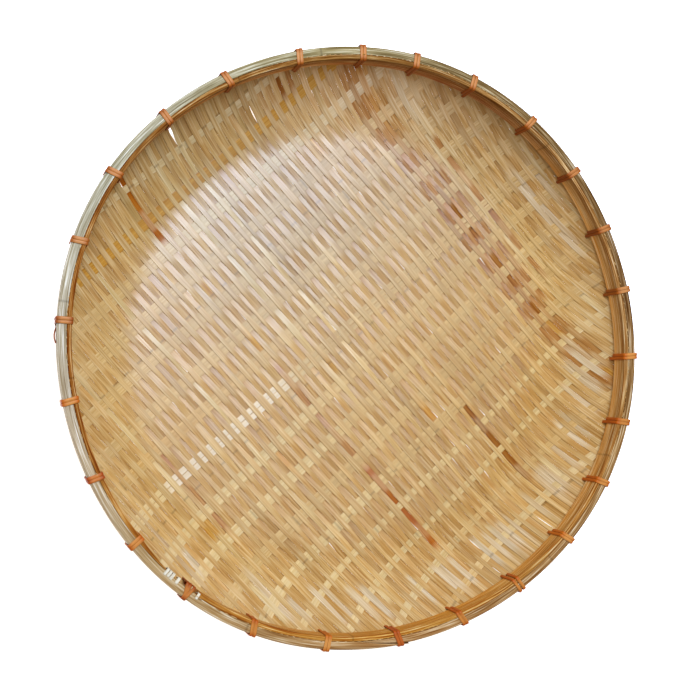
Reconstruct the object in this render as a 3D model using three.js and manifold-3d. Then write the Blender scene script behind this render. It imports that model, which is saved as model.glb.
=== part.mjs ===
// A round bamboo winnowing tray, which can hang on a wall as a shallow basket.
// A dish of woven bamboo strips is clamped at its edge between two bamboo hoops.
// Twenty-six lashings of flat cord go round both hoops and through the weave, and hold the rim together.
// Lengths are in millimetres. +Z is up, and the origin is the middle of the flat bottom, on the table.

import * as THREE from "three";
import { mergeVertices } from "three/addons/utils/BufferGeometryUtils.js";
import Module from "manifold-3d";

const wasm = await Module();
wasm.setup();

// Overall sizes
const trayRadius = 225; // to the outer face of the outer hoop
const trayHeight = 58; // from the table to the top edge of the hoops
const seatGap = 0.3; // the clearance between any two pieces that touch
const cutOverrun = 2; // how far a cutting shape runs past what it cuts

// The rim was bent by hand: it swells outwards a little in four places, and draws in between them.
const outOfRound = 1.2;
const swellCount = 4;
const firstSwellShare = 0.176; // of a full turn, from +X towards +Y

// Woven mat
const matThick = 1.8;
const matEdgeThick = 1; // between the hoops, where the strips are pressed flat
const flatRadius = 155; // the flat bottom, before the wall starts to rise
const wallPower = 2.4; // how late the wall turns upwards
const wallSteps = 7;
const matEdgeDrop = 0.8; // the trimmed edge lies this far under the top of the hoops

// Outer hoop, a split stem with its skin outwards
const outerHoopWide = 6;
const outerHoopTall = 18;
const outerHoopCorner = 2;
const outerHoopBulge = 0.4;
const scarfLength = 42; // its two pared ends lie on each other along this slanting cut
const scarfGap = 0.4;
const scarfShare = 0.744; // where the cut starts at the inner face, as a share of a turn

// Inner hoop, a thinner split with two ends that don't quite meet
const innerHoopWide = 2.6;
const innerHoopTall = 17;
const innerHoopCorner = 0.6;
const taperStartShare = 0.61; // one end is pared down from here
const taperEndShare = 0.632; // to a thin tip here
const squareEndShare = 0.652; // and the other end, cut square, is here
const taperTip = 0.7;

// Lashings
const cordWide = 2.4;
const cordThick = 1;
const cordShoulderShare = 0.6; // the flat part of the cord's face, as a share of its width
const cordPitch = 2.85; // from one turn to the next, along the rim
const cordCorner = 1.6; // the radius of the cord's middle at the corners of the rim
const cordStart = 4; // the cord's first end hangs this far through the mat
const lashingTurns = 2;
const slotGap = 0.5; // the hole in the mat is this much larger than the cord all round
const lashingShares = [
  0.034, 0.071, 0.108, 0.146, 0.186, 0.221, 0.252, 0.288, 0.33, 0.369, 0.409, 0.448,
  0.53, 0.571, 0.61, 0.687, 0.728, 0.768, 0.806, 0.844, 0.883, 0.921, 0.9575, 0.9955,
];

// One lashing was left with its last end loose, in a small bow on the outside of the rim.
const looseEndShare = 0.489;
const looseEndDrop = 8; // the bow starts this far under the top of the hoops
const looseEndSpan = 11;
const looseEndBow = 1.4;
const looseEndShares = [[0, 0], [0.12, 0.22], [0.35, 0.3], [0.65, 0.3], [1, 0.26]]; // of the span: along, down

// The lashing where the inner hoop's ends meet has one turn more, and a knot on its inner top corner.
const knottedShare = 0.647;
const knottedTurns = 3;
const knotDeep = 5;
const knotWide = 6.6;
const knotTall = 4.2;
const knotSeatShare = 0.8; // of its half depth and half height, from the corner of the inner hoop

// Faceting
const roundSteps = 96;
const bendSteps = 2;
const knotSides = 10;
const knotRings = 6;

// Radii and heights that follow from the sizes above
const outerHoopInside = trayRadius - outerHoopWide;
const matEdgeOutside = outerHoopInside - seatGap;
const matEdgeInside = matEdgeOutside - matEdgeThick;
const innerHoopOutside = matEdgeInside - seatGap;
const innerHoopInside = innerHoopOutside - innerHoopWide;
const outerHoopFoot = trayHeight - outerHoopTall;
const innerHoopFoot = trayHeight - innerHoopTall;
const cordSeat = seatGap + cordThick / 2;
const cordInside = innerHoopInside - cordSeat;
const cordOutside = trayRadius + cordSeat;
const cordTop = trayHeight + cordSeat;
const cordFoot = Math.min(outerHoopFoot, innerHoopFoot) - cordSeat;

const turn = 2 * Math.PI;
const quarterTurn = Math.PI / 2;

// How far the rim lies outside its true circle, at a share of a turn.
function swellAt(share) {
  return outOfRound * Math.cos(turn * swellCount * (share - firstSwellShare));
}

// Moves each point of a round piece in or out with the rim.
function bentByHand(geometry) {
  const places = geometry.getAttribute("position");
  for (let i = 0; i < places.count; i += 1) {
    const share = Math.atan2(places.getY(i), places.getX(i)) / turn;
    const growth = 1 + swellAt(share) / trayRadius;
    places.setXY(i, places.getX(i) * growth, places.getY(i) * growth);
  }
  return geometry;
}

function polar(radius, share) {
  return new THREE.Vector2(radius, 0).rotateAround(new THREE.Vector2(), turn * share);
}

// A closed outline of [radius, height] points, turned round the tray's upright axis.
function turned(outline) {
  const points = outline.map(([radius, height]) => new THREE.Vector2(radius, height));
  return new THREE.LatheGeometry(points, roundSteps).rotateX(quarterTurn);
}

// A closed geometry as a solid that can be cut and joined.
function solidOf(geometry) {
  const bare = geometry.clone();
  bare.deleteAttribute("normal");
  bare.deleteAttribute("uv");
  const merged = mergeVertices(bare, 1e-3);
  const mesh = new wasm.Mesh({
    numProp: 3,
    vertProperties: merged.getAttribute("position").array,
    triVerts: new Uint32Array(merged.index.array),
  });
  return new wasm.Manifold(mesh);
}

function geometryOf(solid) {
  const mesh = solid.getMesh();
  const geometry = new THREE.BufferGeometry();
  geometry.setAttribute("position", new THREE.BufferAttribute(mesh.vertProperties, 3));
  geometry.setIndex(new THREE.BufferAttribute(mesh.triVerts, 1));
  return geometry;
}

// The mat's section: flat, then a wall that steepens up to the hoops, then an upright edge between them.
function matOutline() {
  const rise = innerHoopFoot - seatGap - matThick;
  const run = innerHoopOutside - flatRadius;
  const inside = [];
  const underside = [];
  for (let step = 0; step <= wallSteps; step += 1) {
    const share = step / wallSteps;
    const slope = Math.atan((wallPower * rise * share ** (wallPower - 1)) / run);
    const radius = flatRadius + run * share;
    const height = matThick + rise * share ** wallPower;
    inside.unshift([radius, height]);
    underside.push([radius + matThick * Math.sin(slope), height - matThick * Math.cos(slope)]);
  }
  const edge = trayHeight - matEdgeDrop;
  return [
    [0, 0],
    ...underside,
    [matEdgeOutside, innerHoopFoot - seatGap],
    [matEdgeOutside, edge],
    [matEdgeInside, edge],
    [matEdgeInside, innerHoopFoot],
    ...inside,
    [0, matThick],
  ];
}

// The hole that a lashing with some turns goes through, in line with +X.
function lashingSlot(turns) {
  const inside = cordInside - cordThick / 2 - slotGap;
  const outside = matEdgeOutside + cutOverrun;
  const foot = cordFoot - cordStart - slotGap;
  const head = cordFoot + cordThick / 2 + slotGap;
  const width = (turns - 1) * cordPitch + cordWide + 2 * slotGap;
  const slot = new THREE.BoxGeometry(outside - inside, width, head - foot);
  return slot.translate((inside + outside) / 2, 0, (foot + head) / 2);
}

function wovenMat() {
  const holes = [...lashingShares, looseEndShare].map((share) => [share, lashingTurns]);
  holes.push([knottedShare, knottedTurns]);
  let mat = solidOf(turned(matOutline()));
  for (const [share, turns] of holes) {
    mat = mat.subtract(solidOf(lashingSlot(turns).rotateZ(turn * share)));
  }
  return bentByHand(geometryOf(mat));
}

// The thin slanting slit between the two ends of the outer hoop, which lie on each other.
function scarfSlit() {
  const reach = outerHoopInside ** 2 + trayRadius ** 2 - scarfLength ** 2;
  const span = Math.acos(reach / (2 * outerHoopInside * trayRadius));
  const start = polar(outerHoopInside, scarfShare);
  const end = polar(trayRadius, scarfShare + span / turn);
  const slant = end.clone().sub(start).angle();
  const middle = start.clone().add(end).multiplyScalar(1 / 2);
  const tall = outerHoopTall + 2 * cutOverrun;
  const slit = new THREE.BoxGeometry(scarfLength + 2 * cutOverrun, scarfGap, tall);
  return slit.rotateZ(slant).translate(middle.x, middle.y, trayHeight - outerHoopTall / 2);
}

function outerHoop() {
  const shoulder = trayRadius - outerHoopBulge;
  const brow = shoulder - outerHoopCorner;
  const ring = turned([
    [outerHoopInside, outerHoopFoot],
    [brow, outerHoopFoot],
    [shoulder, outerHoopFoot + outerHoopCorner],
    [trayRadius, trayHeight - outerHoopTall / 2],
    [shoulder, trayHeight - outerHoopCorner],
    [brow, trayHeight],
    [outerHoopInside, trayHeight],
    [outerHoopInside, outerHoopFoot],
  ]);
  return bentByHand(geometryOf(solidOf(ring).subtract(solidOf(scarfSlit()))));
}

// What the inner hoop leaves out between its pared tip and its square end.
function innerHoopGap() {
  const within = innerHoopInside - cutOverrun;
  const beyond = innerHoopOutside + cutOverrun;
  const outline = new THREE.Shape([
    polar(within, taperStartShare),
    polar(innerHoopInside, taperStartShare),
    polar(innerHoopOutside - taperTip, taperEndShare),
    polar(beyond, taperEndShare),
    polar(beyond, squareEndShare),
    polar(within, squareEndShare),
  ]);
  const tall = innerHoopTall + 2 * cutOverrun;
  const gap = new THREE.ExtrudeGeometry(outline, { depth: tall, bevelEnabled: false });
  return gap.translate(0, 0, innerHoopFoot - cutOverrun);
}

function innerHoop() {
  const brow = innerHoopInside + innerHoopCorner;
  const ring = turned([
    [brow, innerHoopFoot],
    [innerHoopOutside, innerHoopFoot],
    [innerHoopOutside, trayHeight],
    [brow, trayHeight],
    [innerHoopInside, trayHeight - innerHoopCorner],
    [innerHoopInside, innerHoopFoot + innerHoopCorner],
    [brow, innerHoopFoot],
  ]);
  return bentByHand(geometryOf(solidOf(ring).subtract(solidOf(innerHoopGap()))));
}

// A place on a cord's path in line with +X, and the way out of the rim there, as quarter turns from +X.
function station(radius, along, height, quarters) {
  const angle = quarters * quarterTurn;
  return {
    place: new THREE.Vector3(radius, along, height),
    outward: new THREE.Vector3(Math.cos(angle), 0, Math.sin(angle)),
  };
}

// The stations where a cord bends round one corner of the rim, clockwise from some quarter.
function bendRound(radius, along, height, quarters) {
  const stations = [];
  for (let step = 0; step <= bendSteps; step += 1) {
    const bent = station(radius, along, height, quarters - step / bendSteps);
    bent.place.addScaledVector(bent.outward, cordCorner);
    stations.push(bent);
  }
  return stations;
}

// The path of a lashing: up inside the rim, over it and down outside, then back underneath, where it steps
// along the rim to the next turn. A loose end leaves the outside of the rim in a bow.
function lashingPath(turns, endsLoose) {
  const inner = cordInside + cordCorner;
  const outer = cordOutside - cordCorner;
  const upper = cordTop - cordCorner;
  const lower = cordFoot + cordCorner;
  const path = [];
  for (let count = 0; count < turns; count += 1) {
    const along = (count - (turns - 1) / 2) * cordPitch;
    if (count === 0) {
      path.push(station(cordInside, along, cordFoot - cordStart, 2));
    } else {
      path.push(...bendRound(inner, along, lower, 3));
    }
    path.push(...bendRound(inner, along, upper, 2));
    path.push(...bendRound(outer, along, upper, 1));
    if (count < turns - 1) {
      path.push(...bendRound(outer, along, lower, 0));
    } else if (endsLoose) {
      path.push(...looseEnd(along));
    } else {
      path.push(station(cordOutside, along, lower, 0));
    }
  }
  return path;
}

// The bow that a loose end makes from the cord's last turn, along the outside of the rim.
function looseEnd(along) {
  const height = trayHeight - looseEndDrop;
  return looseEndShares.map(([reachShare, dropShare]) => {
    const bow = looseEndBow * Math.sin(Math.PI * reachShare);
    const reach = looseEndSpan * reachShare;
    return station(cordOutside + bow, along + reach, height - looseEndSpan * dropShare, 0);
  });
}

// The six corners of a flat cord's section, as [across, outward] shares of its half width and thickness.
const cordCornerShares = [
  [1, 0],
  [cordShoulderShare, 1],
  [-cordShoulderShare, 1],
  [-1, 0],
  [-cordShoulderShare, -1],
  [cordShoulderShare, -1],
];

// The rings of points that a flat cord's surface has along its path.
function cordRings(path) {
  return path.map(({ place, outward }, i) => {
    const before = path[Math.max(i - 1, 0)].place;
    const after = path[Math.min(i + 1, path.length - 1)].place;
    const across = outward.clone().cross(after.clone().sub(before)).normalize();
    return cordCornerShares.map(([acrossShare, outwardShare]) => {
      const point = place.clone();
      point.addScaledVector(across, (acrossShare * cordWide) / 2);
      return point.addScaledVector(outward, (outwardShare * cordThick) / 2);
    });
  });
}

// One closed tube over the rings, with a flat end at its first and last ring.
function tubeOver(rings) {
  const sides = rings[0].length;
  const last = (rings.length - 1) * sides;
  const faces = [];
  for (let side = 0; side < sides; side += 1) {
    const next = (side + 1) % sides;
    for (let ring = 0; ring < last; ring += sides) {
      faces.push(ring + side, ring + next, ring + sides + next);
      faces.push(ring + side, ring + sides + next, ring + sides + side);
    }
    if (side > 0 && next > 0) {
      faces.push(0, next, side);
      faces.push(last, last + side, last + next);
    }
  }
  const geometry = new THREE.BufferGeometry().setFromPoints(rings.flat());
  return geometry.setIndex(faces);
}

// The least gap between surface points of a cord's path that lie more than half a turn apart on it.
function leastGap(rings) {
  const apart = 2 * bendSteps + 3;
  let least = Infinity;
  rings.forEach((ring, i) => {
    for (const other of rings.slice(i + apart)) {
      for (const point of ring) {
        least = Math.min(least, ...other.map((place) => place.distanceTo(point)));
      }
    }
  });
  return least;
}

// The knot, on the inner top corner of the rim.
function knot() {
  const lump = new THREE.SphereGeometry(1, knotSides, knotRings).rotateX(quarterTurn);
  lump.scale(knotDeep / 2, knotWide / 2, knotTall / 2);
  const radius = innerHoopInside - (knotSeatShare * knotDeep) / 2;
  return lump.translate(radius, 0, trayHeight + (knotSeatShare * knotTall) / 2);
}

const tray = new THREE.Group();

function addPiece(name, geometry, colour, roughness) {
  const material = new THREE.MeshStandardMaterial({ color: colour, roughness, metalness: 0 });
  const piece = new THREE.Mesh(geometry, material);
  piece.name = name;
  tray.add(piece);
  return piece;
}

// Turns a piece that is made in line with +X to its place on the rim, and moves it with the rim's swell.
function addToRim(share, name, geometry, colour, roughness) {
  const piece = addPiece(name, geometry, colour, roughness);
  const swell = polar(swellAt(share), share);
  piece.rotation.z = turn * share;
  piece.position.set(swell.x, swell.y, 0);
}

addPiece("woven_mat", wovenMat(), "#cfae74", 0.6);
addPiece("outer_hoop", outerHoop(), "#b9ad90", 0.55);
addPiece("inner_hoop", innerHoop(), "#ad7a3c", 0.55);

const plainRings = cordRings(lashingPath(lashingTurns, false));
const looseRings = cordRings(lashingPath(lashingTurns, true));
const knottedRings = cordRings(lashingPath(knottedTurns, false));
const knottedCord = solidOf(tubeOver(knottedRings)).add(solidOf(knot()));

lashingShares.forEach((share, i) => {
  const name = `lashing_${String(i + 1).padStart(2, "0")}`;
  addToRim(share, name, tubeOver(plainRings), "#d2701f", 0.35);
});
addToRim(looseEndShare, "lashing_with_loose_end", tubeOver(looseRings), "#b4501f", 0.35);
addToRim(knottedShare, "knotted_lashing", geometryOf(knottedCord), "#a8421c", 0.35);

for (const [name, rings] of Object.entries({ plainRings, looseRings, knottedRings })) {
  console.log(`${name}: least gap of the cord to itself ${leastGap(rings).toFixed(2)} mm`);
}

export default tray;
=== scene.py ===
# %% [markdown]
# # A bamboo winnowing tray
#
# The real object is a shallow round dish, woven from split bamboo and clamped at its edge between two
# bamboo hoops, which twenty-six lashings of dyed cane hold together. It lies with its open side up.
# Nothing on it moves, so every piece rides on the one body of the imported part.
#
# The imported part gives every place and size. Here each of its plain solids gets a finer piece: the woven
# mat becomes its single strips, and the hoops and lashings get their split edges, fibres and gloss.

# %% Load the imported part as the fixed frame
import math
import random

import bmesh
import bpy
from mathutils import Matrix, Vector


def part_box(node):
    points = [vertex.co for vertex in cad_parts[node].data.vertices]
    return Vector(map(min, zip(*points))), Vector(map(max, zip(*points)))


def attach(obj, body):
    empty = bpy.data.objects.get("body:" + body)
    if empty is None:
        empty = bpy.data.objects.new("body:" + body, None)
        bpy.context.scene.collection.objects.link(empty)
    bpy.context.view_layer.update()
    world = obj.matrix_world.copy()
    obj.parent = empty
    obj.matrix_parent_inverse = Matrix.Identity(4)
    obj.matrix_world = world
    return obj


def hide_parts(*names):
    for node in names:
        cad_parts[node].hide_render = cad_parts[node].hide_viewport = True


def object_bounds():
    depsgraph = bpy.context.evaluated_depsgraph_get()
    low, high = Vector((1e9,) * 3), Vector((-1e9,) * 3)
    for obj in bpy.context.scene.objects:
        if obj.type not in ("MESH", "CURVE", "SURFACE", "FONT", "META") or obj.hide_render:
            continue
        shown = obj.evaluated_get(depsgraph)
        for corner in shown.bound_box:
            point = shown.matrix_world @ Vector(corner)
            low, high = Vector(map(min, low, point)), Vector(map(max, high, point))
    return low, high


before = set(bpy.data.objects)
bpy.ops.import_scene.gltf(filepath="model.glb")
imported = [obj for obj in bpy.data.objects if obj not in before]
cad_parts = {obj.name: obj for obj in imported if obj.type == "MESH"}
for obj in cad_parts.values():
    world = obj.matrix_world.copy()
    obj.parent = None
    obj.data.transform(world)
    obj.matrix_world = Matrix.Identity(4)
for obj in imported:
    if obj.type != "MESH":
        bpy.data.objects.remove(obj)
cad_low, cad_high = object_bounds()
MM = 0.001  # Blender works in metres
TURN = 2 * math.pi
cad_size = [round(side / MM, 1) for side in cad_high - cad_low]
print("packed part:", len(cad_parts), "nodes,", cad_size, "mm")

# %% [markdown]
# ## The camera
#
# A camera is placed first, because everything else is judged through it. The picture looks down on the
# tray from a little to its left. A constraint could aim the camera, but it would leave the roll open, so
# we build its matrix: we aim at a point on the rim's top plane and go back from it along the line of
# sight. A camera looks along its own -Z, so the line of sight backwards is the third column of its
# matrix, and the other two are square to it.

# %% Place the camera
AIM = Vector((-13.14, -3.565, 58.0)) * MM
CAMERA_AWAY = 900 * MM
TILT = math.radians(16.82)  # between the line of sight and straight down
LEAN_TOWARDS = math.radians(186.7)  # the side of the tray that the camera is over, from +X towards +Y
LENS = 62.57  # millimetres, for the 36 mm sensor that Blender starts with

back = Vector(
    (
        math.sin(TILT) * math.cos(LEAN_TOWARDS),
        math.sin(TILT) * math.sin(LEAN_TOWARDS),
        math.cos(TILT),
    )
)
right = Vector((0, 1, 0)).cross(back).normalized()
camera_data = bpy.data.cameras.new("camera")
camera_data.lens = LENS
camera_data.clip_start = 10 * MM
camera = bpy.data.objects.new("camera", camera_data)
bpy.context.scene.collection.objects.link(camera)
turned = Matrix((right, back.cross(right), back)).transposed().to_4x4()
camera.matrix_world = Matrix.Translation(AIM + back * CAMERA_AWAY) @ turned
bpy.context.scene.camera = camera
print("camera at", [round(side / MM) for side in camera.location], "mm")

# %% [markdown]
# ## What the frame says
#
# The hoops were bent by hand, so the rim isn't a true circle: it swells out by about a millimetre in four
# places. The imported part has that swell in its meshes. We measure each ring on the true circle, by taking
# the swell out again, and put it back whenever a point of a new piece is placed.

# %% Measure the rings of the rim
TRAY_RADIUS = 225 * MM
OUT_OF_ROUND = 1.2 * MM
SWELL_COUNT = 4
FIRST_SWELL = 0.176 * TURN


def swell_at(angle):
    """How far the rim lies outside its true circle."""
    return OUT_OF_ROUND * math.cos(SWELL_COUNT * (angle - FIRST_SWELL))


def bent_by_hand(point):
    """A point of the truly round tray, moved in or out with the rim."""
    growth = 1 + swell_at(math.atan2(point.y, point.x)) / TRAY_RADIUS
    return Vector((point.x * growth, point.y * growth, point.z))


def ring_of(node):
    """The inner and outer radius of a packed ring on the true circle, and its lowest and highest point."""
    radii = []
    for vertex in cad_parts[node].data.vertices:
        growth = 1 + swell_at(math.atan2(vertex.co.y, vertex.co.x)) / TRAY_RADIUS
        radii.append(math.hypot(vertex.co.x, vertex.co.y) / growth)
    low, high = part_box(node)
    return min(radii), max(radii), low.z, high.z


outer_inside, outer_outside, outer_foot, rim_top = ring_of("outer_hoop")
inner_inside, inner_outside, inner_foot, _ = ring_of("inner_hoop")
mat_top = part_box("woven_mat")[1].z
for name, sizes in {
    "outer hoop": (outer_inside, outer_outside, outer_foot, rim_top),
    "inner hoop": (inner_inside, inner_outside, inner_foot, rim_top),
}.items():
    print(name, [round(size / MM, 2) for size in sizes], "mm")

# %% [markdown]
# ## One way to make every long piece
#
# Strips, hoops and cords are all long pieces with one section. The steps are the same for each: start
# from a flat grid with one row for each place along the piece and one column for each corner of the
# section, give it a UV map while it is still flat, then wrap it round: each of its points goes to its
# place, the first and last columns meet and are merged, and the two open ends are filled. A curve with a
# bevel could make them too, but its section can't change along its length, as a hand-cut strip's does.
#
# The UV map is in metres along and around the piece, so a pattern of fibres keeps its real scale. A colour
# attribute named cane holds each point's own colour, and in its alpha how near it is to a cut edge, which
# the material darkens as painted shade.


# %% The wrap
def linear(hex_colour):
    """An sRGB hex colour as the linear numbers that Blender computes with."""
    shares = [int(hex_colour[i : i + 2], 16) / 255 for i in (1, 3, 5)]
    return [share / 12.92 if share <= 0.04045 else ((share + 0.055) / 1.055) ** 2.4 for share in shares]


def distances(points, closed=False):
    """How far each of some points lies along the line through them, and where the line closes."""
    reach = [0.0]
    for before, after in zip(points, points[1:] + points[:1] if closed else points[1:]):
        reach.append(reach[-1] + math.dist(before, after))
    return reach


SAME_PLACE = 1e-7  # metres


def wrap(mesh, reach, around, place, colour, shift):
    """Adds one closed long piece. place and colour say where each corner of its section goes, row by row.

    reach and around are the real distances along its rows and round its section, for the UV map. shift
    moves the fibres along, so that no two pieces show the same ones."""
    rows, sides = len(reach) - 1, len(around) - 1
    points = bmesh.ops.create_grid(mesh, x_segments=rows, y_segments=sides, size=1)["verts"]
    uv = mesh.loops.layers.uv["UVMap"]
    cane = mesh.verts.layers.float_color["cane"]
    at = {}
    for point in points:
        at[point] = (round((point.co.x + 1) * rows / 2), round((point.co.y + 1) * sides / 2))
    faces = {face for point in points for face in point.link_faces}
    for face in faces:
        for corner in face.loops:
            row, side = at[corner.vert]
            corner[uv].uv = (shift + reach[row], around[side])
    for point, (row, side) in at.items():
        point.co = place(row, side % sides)
        point[cane] = colour(row, side % sides)
    seam = [point for point in points if at[point][1] in (0, sides)]
    bmesh.ops.remove_doubles(mesh, verts=seam, dist=SAME_PLACE)
    ends = {edge for face in faces for edge in face.edges if edge.is_boundary}
    bmesh.ops.holes_fill(mesh, edges=list(ends), sides=0)


# %% From a bmesh to an object
def new_long_mesh():
    """An empty bmesh with the colour attribute and the UV map that wrap fills."""
    mesh = bmesh.new()
    mesh.verts.layers.float_color.new("cane")
    mesh.loops.layers.uv.new("UVMap")
    return mesh


def add_piece(name, mesh, material, sharp_above=15):
    """Turns a bmesh into a shaded object at the origin."""
    bmesh.ops.recalc_face_normals(mesh, faces=mesh.faces)
    for face in mesh.faces:
        face.smooth = True
    data = bpy.data.meshes.new(name)
    mesh.to_mesh(data)
    mesh.free()
    data.set_sharp_from_angle(angle=math.radians(sharp_above))
    data.materials.append(material)
    piece = bpy.data.objects.new(name, data)
    bpy.context.scene.collection.objects.link(piece)
    return piece


# %% [markdown]
# ## Materials
#
# Every material is built from nodes. One small function adds a node, sets its properties and fills or
# links its sockets.


# %% A node with its settings and links
def add_node(tree, kind, inputs=None, **settings):
    """Adds a shader node. inputs maps a socket to a value, or to the output that feeds it."""
    node = tree.nodes.new("ShaderNode" + kind)
    for name, value in settings.items():
        setattr(node, name, value)
    for socket, value in (inputs or {}).items():
        if isinstance(value, bpy.types.NodeSocket):
            tree.links.new(value, node.inputs[socket])
        else:
            node.inputs[socket].default_value = value
    return node


# %% [markdown]
# ### Split bamboo
#
# Split bamboo is a bundle of straight fibres in a paler pith. Split and shaved by hand, it shows fine
# streaks along its length, slow changes of tone and a dark line where a joint of the stem was. Its cut
# edges are drawn darker as painted shade, where neighbouring strips shade each other. Hands and cloths
# have polished the bottom of the tray, and its wall has stayed dull. Old dark canes have lost their wax
# and shine less than pale ones.
#
# A picture of bamboo could be laid on the strips, but a hundred of them would show that it repeats. Noise
# stretched along each strip's own UV map never does. Single fibres are too fine to show, so the streaks
# are drawn a millimetre wide, as bundles of a few fibres are.

# %% Where the tray is polished
POLISH_MIDDLE = (-12 * MM, 14 * MM, 0)
POLISHED_TO = 152 * MM
DULL_FROM = 182 * MM
DULL_GLOSS = 0.2  # the share of its gloss that bamboo keeps on the wall
MOST_NOISE = {"From Min": 0.3, "From Max": 0.7}  # nearly all values of a noise lie between these
print("polished to", round(POLISHED_TO / MM), "mm from", [round(part / MM) for part in POLISH_MIDDLE])


# %% Split bamboo
def split_bamboo(name, roughness, worn, gloss, streak, fibre, painted_edge_shade, joint_spacing):
    """Bamboo split along its fibres, which show as streaks that are fibre wide.

    roughness and gloss hold for the polished bottom, and worn is the roughness of the wall. streak says
    how far the tones of the fibres spread, painted_edge_shade how much painted shade darkens a cut edge,
    and joint_spacing how far apart the joints of the stem lie."""
    material = bpy.data.materials.new(name)
    material.use_nodes = True
    tree = material.node_tree
    tree.nodes.clear()
    own = add_node(tree, "Attribute", attribute_name="cane")
    along = add_node(tree, "UVMap", uv_map="UVMap").outputs["UV"]
    # Fine streaks are 40 mm long, and slow changes of tone are longer and five fibres wide.
    fine = add_node(tree, "Mapping", {"Vector": along, "Scale": (1 / (40 * MM), 1 / fibre, 1)})
    slow = add_node(tree, "Mapping", {"Vector": along, "Scale": (1 / (70 * MM), 1 / (5 * fibre), 1)})
    grain = {"Vector": fine.outputs[0], "Scale": 1, "Detail": 3, "Roughness": 0.6}
    fibres = add_node(tree, "TexNoise", grain)
    tones = add_node(tree, "TexNoise", {"Vector": slow.outputs[0], "Scale": 1, "Detail": 1})
    streaks = add_node(
        tree,
        "MapRange",
        {**MOST_NOISE, "Value": fibres.outputs["Fac"], "To Min": 1 + streak, "To Max": 1 - streak},
    )
    tone_light = add_node(
        tree,
        "MapRange",
        {**MOST_NOISE, "Value": tones.outputs["Fac"], "To Min": 0.9, "To Max": 1.1},
    )
    split = add_node(tree, "SeparateXYZ", {"Vector": along})
    joint = add_node(tree, "Math", {0: split.outputs["X"], 1: joint_spacing}, operation="PINGPONG")
    joint_light = add_node(
        tree,
        "MapRange",
        {"Value": joint.outputs[0], "From Min": 0.3 * MM, "From Max": 1.2 * MM, "To Min": 0.7, "To Max": 1},
    )
    # Painted shade: the cut edges that the cane alpha marks are drawn darker, as where neighbouring strips
    # shade each other.
    edge_painted_shade = add_node(
        tree,
        "MapRange",
        {"Value": own.outputs["Alpha"], "From Min": 0, "From Max": 1, "To Min": 1, "To Max": 1 - painted_edge_shade},
    )
    light = {0: tone_light.outputs[0], 1: joint_light.outputs[0]}
    light = add_node(tree, "Math", light, operation="MULTIPLY")
    light = add_node(tree, "Math", {0: light.outputs[0], 1: edge_painted_shade.outputs[0]}, operation="MULTIPLY")
    # A power of the colour keeps pale canes pale and lets dark fibres grow warmer as well as darker.
    fibrous = add_node(tree, "Gamma", {"Color": own.outputs["Color"], "Gamma": streaks.outputs[0]})
    shaded = {0: fibrous.outputs[0], "Scale": light.outputs[0]}
    colour = add_node(tree, "VectorMath", shaded, operation="SCALE")
    # Roughness and gloss go by the distance from the middle of the polish, whatever the height.
    at = add_node(tree, "TexCoord").outputs["Object"]
    shifted = {0: at, 1: (1, 1, 0), 2: [-part for part in POLISH_MIDDLE]}
    from_polish = add_node(tree, "VectorMath", shifted, operation="MULTIPLY_ADD")
    out = add_node(tree, "VectorMath", {0: from_polish.outputs[0]}, operation="LENGTH")
    fade = {"Value": out.outputs["Value"], "From Min": POLISHED_TO, "From Max": DULL_FROM}
    rough = add_node(tree, "MapRange", {**fade, "To Min": roughness, "To Max": worn})
    polish = add_node(tree, "MapRange", {**fade, "To Min": gloss, "To Max": gloss * DULL_GLOSS})
    paleness = add_node(tree, "RGBToBW", {"Color": own.outputs["Color"]})
    waxy = add_node(
        tree,
        "MapRange",
        {"Value": paleness.outputs[0], "From Min": 0.1, "From Max": 0.17, "To Min": 0.1, "To Max": 1},
    )
    shine = add_node(tree, "Math", {0: polish.outputs[0], 1: waxy.outputs[0]}, operation="MULTIPLY")
    bump = add_node(tree, "Bump", {"Height": fibres.outputs["Fac"], "Strength": 0.25, "Distance": 0.08 * MM})
    shader = add_node(
        tree,
        "BsdfPrincipled",
        {
            "Base Color": colour.outputs[0],
            "Roughness": rough.outputs[0],
            "Specular IOR Level": shine.outputs[0],
            "IOR": 1.5,
            "Normal": bump.outputs[0],
        },
    )
    output = add_node(tree, "OutputMaterial")
    tree.links.new(shader.outputs[0], output.inputs["Surface"])
    return material


# %% Three finishes of bamboo
# The narrow strips are shaved finest and shine most, and the stems of the hoops show the coarsest fibres.
narrow_cane = split_bamboo("split bamboo, narrow strips", 0.38, 0.6, 0.65, 0.3, 1.0 * MM, 0.08, 150 * MM)
flat_cane = split_bamboo("split bamboo, flat strips", 0.4, 0.6, 0.62, 0.2, 1.1 * MM, 0.1, 160 * MM)
hoop_cane = split_bamboo("bent bamboo stem", 0.5, 0.5, 0.35, 0.7, 1.0 * MM, 0.2, 140 * MM)
for material in (narrow_cane, flat_cane, hoop_cane):
    print(material.name, "has", len(material.node_tree.nodes), "nodes")

# %% [markdown]
# ## How the mat is woven
#
# The mat is a plain weave. More than a hundred narrow strips lie side by side and run down to the right,
# and sixteen flat strips lie spaced across them. Each narrow strip goes over one flat strip and under the
# next, and its neighbour does the opposite. The flat strips are stiffer, so they stay straight and the
# narrow ones do the bending: this gives the slopes that catch the light. A height map on a plain dish
# could draw the weave, but it would show no gaps, no underside and no strip ends, so we lay real strips.
#
# We work in the plane of the weave: ALONG is the way the narrow strips run, and ACROSS is square to it.

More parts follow.
